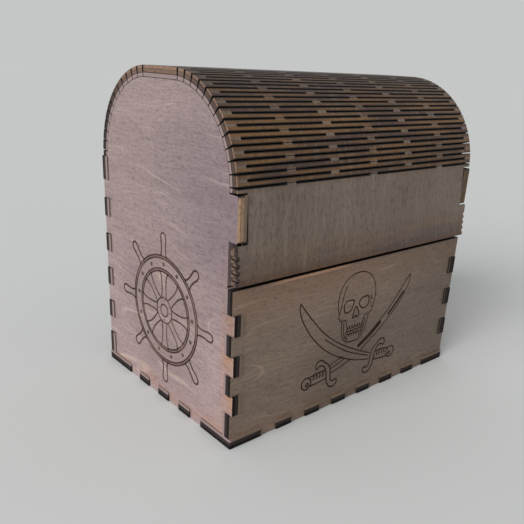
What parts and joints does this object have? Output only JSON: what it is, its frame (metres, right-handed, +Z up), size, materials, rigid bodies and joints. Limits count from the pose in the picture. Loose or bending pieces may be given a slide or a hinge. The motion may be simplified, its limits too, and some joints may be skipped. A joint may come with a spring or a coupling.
{
  "type": "jack in the box",
  "caption": "Small laser-cut plywood pirate chest with a living-hinge lid that unrolls as a jack on a coil spring rises out of it.",
  "frame": {"origin": "on the floor under the middle of the bottom panel", "axes": "+Z up; -Y towards the front with the flap; +X to the right as seen from the front"},
  "size_m": [0.101, 0.0721, 0.1001],
  "materials": {
    "stained_ply_side": "stained plywood, matt",
    "stained_ply_front": "stained plywood, matt",
    "stained_ply_lid": "stained plywood, matt, with burnt slits",
    "bare_wood": "turned beech, waxed",
    "red_paint": "painted wood, satin",
    "cream_paint": "painted wood, satin",
    "blue_paint": "painted wood, satin",
    "yellow_paint": "painted wood, satin",
    "spring_steel": "drawn spring wire"
  },
  "bodies": {
    "chest": {"side_panel_left": "stained_ply_side", "side_panel_right": "stained_ply_side", "front_wall": "stained_ply_front", "back_wall": "stained_ply_front", "bottom_panel": "stained_ply_front", "spring_seat": "bare_wood", "jack_spring": "spring_steel"},
    "jack": {"figure_base": "bare_wood", "figure_body": "red_paint", "figure_collar": "cream_paint", "figure_head": "bare_wood", "figure_nose": "red_paint", "figure_cap": "blue_paint", "cap_bead": "yellow_paint"},
    "rear_slat_01": {"rear_slat_01": "stained_ply_lid"},
    "rear_slat_02": {"rear_slat_02": "stained_ply_lid"},
    "rear_slat_03": {"rear_slat_03": "stained_ply_lid"},
    "rear_slat_04": {"rear_slat_04": "stained_ply_lid"},
    "rear_slat_05": {"rear_slat_05": "stained_ply_lid"},
    "rear_slat_06": {"rear_slat_06": "stained_ply_lid"},
    "rear_slat_07": {"rear_slat_07": "stained_ply_lid"},
    "rear_slat_08": {"rear_slat_08": "stained_ply_lid"},
    "rear_slat_09": {"rear_slat_09": "stained_ply_lid"},
    "rear_slat_10": {"rear_slat_10": "stained_ply_lid"},
    "rear_slat_11": {"rear_slat_11": "stained_ply_lid"},
    "rear_slat_12": {"rear_slat_12": "stained_ply_lid"},
    "lid_top": {"lid_top": "stained_ply_lid"},
    "front_slat_01": {"front_slat_01": "stained_ply_lid"},
    "front_slat_02": {"front_slat_02": "stained_ply_lid"},
    "front_slat_03": {"front_slat_03": "stained_ply_lid"},
    "front_slat_04": {"front_slat_04": "stained_ply_lid"},
    "front_slat_05": {"front_slat_05": "stained_ply_lid"},
    "front_slat_06": {"front_slat_06": "stained_ply_lid"},
    "front_slat_07": {"front_slat_07": "stained_ply_lid"},
    "front_slat_08": {"front_slat_08": "stained_ply_lid"},
    "front_slat_09": {"front_slat_09": "stained_ply_lid"},
    "front_slat_10": {"front_slat_10": "stained_ply_lid"},
    "front_slat_11": {"front_slat_11": "stained_ply_lid"},
    "front_slat_12": {"front_slat_12": "stained_ply_lid"},
    "lid_flap": {"lid_flap": "stained_ply_front"}
  },
  "joints": [
    {"name": "jack_rise", "type": "slide", "parent": "chest", "child": "jack", "axis": [0, 0, 1], "range_m": [0, 0.06], "deforming": ["jack_spring"]},
    {"name": "rear_bend_01", "type": "hinge", "parent": "chest", "child": "rear_slat_01", "pos_m": [0, 0.03359, 0.07374], "axis": [-1, 0, 0], "range_deg": [0, 6.6]},
    {"name": "rear_bend_02", "type": "hinge", "parent": "chest", "child": "rear_slat_02", "pos_m": [0, 0.03348, 0.07534], "axis": [-1, 0, 0], "range_deg": [0, 13.2]},
    {"name": "rear_bend_03", "type": "hinge", "parent": "chest", "child": "rear_slat_03", "pos_m": [0, 0.03331, 0.07693], "axis": [-1, 0, 0], "range_deg": [0, 19.8]},
    {"name": "rear_bend_04", "type": "hinge", "parent": "chest", "child": "rear_slat_04", "pos_m": [0, 0.03307, 0.07853], "axis": [-1, 0, 0], "range_deg": [0, 26.4]},
    {"name": "rear_bend_05", "type": "hinge", "parent": "chest", "child": "rear_slat_05", "pos_m": [0, 0.03276, 0.08012], "axis": [-1, 0, 0], "range_deg": [0, 33]},
    {"name": "rear_bend_06", "type": "hinge", "parent": "chest", "child": "rear_slat_06", "pos_m": [0, 0.03238, 0.08171], "axis": [-1, 0, 0], "range_deg": [0, 39.6]},
    {"name": "rear_bend_07", "type": "hinge", "parent": "chest", "child": "rear_slat_07", "pos_m": [0, 0.03193, 0.08329], "axis": [-1, 0, 0], "range_deg": [0, 46.2]},
    {"name": "rear_bend_08", "type": "hinge", "parent": "chest", "child": "rear_slat_08", "pos_m": [0, 0.03141, 0.08488], "axis": [-1, 0, 0], "range_deg": [0, 52.8]},
    {"name": "rear_bend_09", "type": "hinge", "parent": "chest", "child": "rear_slat_09", "pos_m": [0, 0.03082, 0.08645], "axis": [-1, 0, 0], "range_deg": [0, 59.4]},
    {"name": "rear_bend_10", "type": "hinge", "parent": "chest", "child": "rear_slat_10", "pos_m": [0, 0.03016, 0.08803], "axis": [-1, 0, 0], "range_deg": [0, 66]},
    {"name": "rear_bend_11", "type": "hinge", "parent": "chest", "child": "rear_slat_11", "pos_m": [0, 0.02942, 0.0896], "axis": [-1, 0, 0], "range_deg": [0, 72.6]},
    {"name": "rear_bend_12", "type": "hinge", "parent": "chest", "child": "rear_slat_12", "pos_m": [0, 0.02861, 0.09116], "axis": [-1, 0, 0], "range_deg": [0, 79.2]},
    {"name": "lid_top_swing", "type": "hinge", "parent": "chest", "child": "lid_top", "pos_m": [0, 0.02771, 0.09271], "axis": [-1, 0, 0], "range_deg": [0, 85.8]},
    {"name": "front_bend_01", "type": "hinge", "parent": "lid_top", "child": "front_slat_01", "pos_m": [0, -0.00874, 0.09859], "axis": [-1, 0, 0], "range_deg": [0, 7.6]},
    {"name": "front_bend_02", "type": "hinge", "parent": "lid_top", "child": "front_slat_02", "pos_m": [0, -0.01034, 0.0985], "axis": [-1, 0, 0], "range_deg": [0, 15.2]},
    {"name": "front_bend_03", "type": "hinge", "parent": "lid_top", "child": "front_slat_03", "pos_m": [0, -0.01194, 0.09835], "axis": [-1, 0, 0], "range_deg": [0, 22.8]},
    {"name": "front_bend_04", "type": "hinge", "parent": "lid_top", "child": "front_slat_04", "pos_m": [0, -0.01355, 0.09814], "axis": [-1, 0, 0], "range_deg": [0, 30.4]},
    {"name": "front_bend_05", "type": "hinge", "parent": "lid_top", "child": "front_slat_05", "pos_m": [0, -0.01515, 0.09787], "axis": [-1, 0, 0], "range_deg": [0, 38]},
    {"name": "front_bend_06", "type": "hinge", "parent": "lid_top", "child": "front_slat_06", "pos_m": [0, -0.01677, 0.09754], "axis": [-1, 0, 0], "range_deg": [0, 45.6]},
    {"name": "front_bend_07", "type": "hinge", "parent": "lid_top", "child": "front_slat_07", "pos_m": [0, -0.01839, 0.09714], "axis": [-1, 0, 0], "range_deg": [0, 53.2]},
    {"name": "front_bend_08", "type": "hinge", "parent": "lid_top", "child": "front_slat_08", "pos_m": [0, -0.02002, 0.09669], "axis": [-1, 0, 0], "range_deg": [0, 60.8]},
    {"name": "front_bend_09", "type": "hinge", "parent": "lid_top", "child": "front_slat_09", "pos_m": [0, -0.02166, 0.09616], "axis": [-1, 0, 0], "range_deg": [0, 68.4]},
    {"name": "front_bend_10", "type": "hinge", "parent": "lid_top", "child": "front_slat_10", "pos_m": [0, -0.02332, 0.09557], "axis": [-1, 0, 0], "range_deg": [0, 76]},
    {"name": "front_bend_11", "type": "hinge", "parent": "lid_top", "child": "front_slat_11", "pos_m": [0, -0.02498, 0.09491], "axis": [-1, 0, 0], "range_deg": [0, 83.6]},
    {"name": "front_bend_12", "type": "hinge", "parent": "lid_top", "child": "front_slat_12", "pos_m": [0, -0.02666, 0.09417], "axis": [-1, 0, 0], "range_deg": [0, 91.2]},
    {"name": "flap_swing", "type": "hinge", "parent": "lid_top", "child": "lid_flap", "pos_m": [0, -0.02836, 0.09336], "axis": [-1, 0, 0], "range_deg": [0, 98.8]}
  ],
  "couplings": [
    {"joint": "rear_bend_01", "follows": "jack_rise", "rad_per_m": 1.9199},
    {"joint": "rear_bend_02", "follows": "jack_rise", "rad_per_m": 3.8397},
    {"joint": "rear_bend_03", "follows": "jack_rise", "rad_per_m": 5.7596},
    {"joint": "rear_bend_04", "follows": "jack_rise", "rad_per_m": 7.6794},
    {"joint": "rear_bend_05", "follows": "jack_rise", "rad_per_m": 9.5993},
    {"joint": "rear_bend_06", "follows": "jack_rise", "rad_per_m": 11.519},
    {"joint": "rear_bend_07", "follows": "jack_rise", "rad_per_m": 13.439},
    {"joint": "rear_bend_08", "follows": "jack_rise", "rad_per_m": 15.359},
    {"joint": "rear_bend_09", "follows": "jack_rise", "rad_per_m": 17.279},
    {"joint": "rear_bend_10", "follows": "jack_rise", "rad_per_m": 19.199},
    {"joint": "rear_bend_11", "follows": "jack_rise", "rad_per_m": 21.118},
    {"joint": "rear_bend_12", "follows": "jack_rise", "rad_per_m": 23.038},
    {"joint": "lid_top_swing", "follows": "jack_rise", "rad_per_m": 24.958},
    {"joint": "front_bend_01", "follows": "jack_rise", "rad_per_m": 2.2107},
    {"joint": "front_bend_02", "follows": "jack_rise", "rad_per_m": 4.4215},
    {"joint": "front_bend_03", "follows": "jack_rise", "rad_per_m": 6.6322},
    {"joint": "front_bend_04", "follows": "jack_rise", "rad_per_m": 8.843},
    {"joint": "front_bend_05", "follows": "jack_rise", "rad_per_m": 11.054},
    {"joint": "front_bend_06", "follows": "jack_rise", "rad_per_m": 13.264},
    {"joint": "front_bend_07", "follows": "jack_rise", "rad_per_m": 15.475},
    {"joint": "front_bend_08", "follows": "jack_rise", "rad_per_m": 17.686},
    {"joint": "front_bend_09", "follows": "jack_rise", "rad_per_m": 19.897},
    {"joint": "front_bend_10", "follows": "jack_rise", "rad_per_m": 22.108},
    {"joint": "front_bend_11", "follows": "jack_rise", "rad_per_m": 24.318},
    {"joint": "front_bend_12", "follows": "jack_rise", "rad_per_m": 26.529},
    {"joint": "flap_swing", "follows": "jack_rise", "rad_per_m": 28.74}
  ]
}
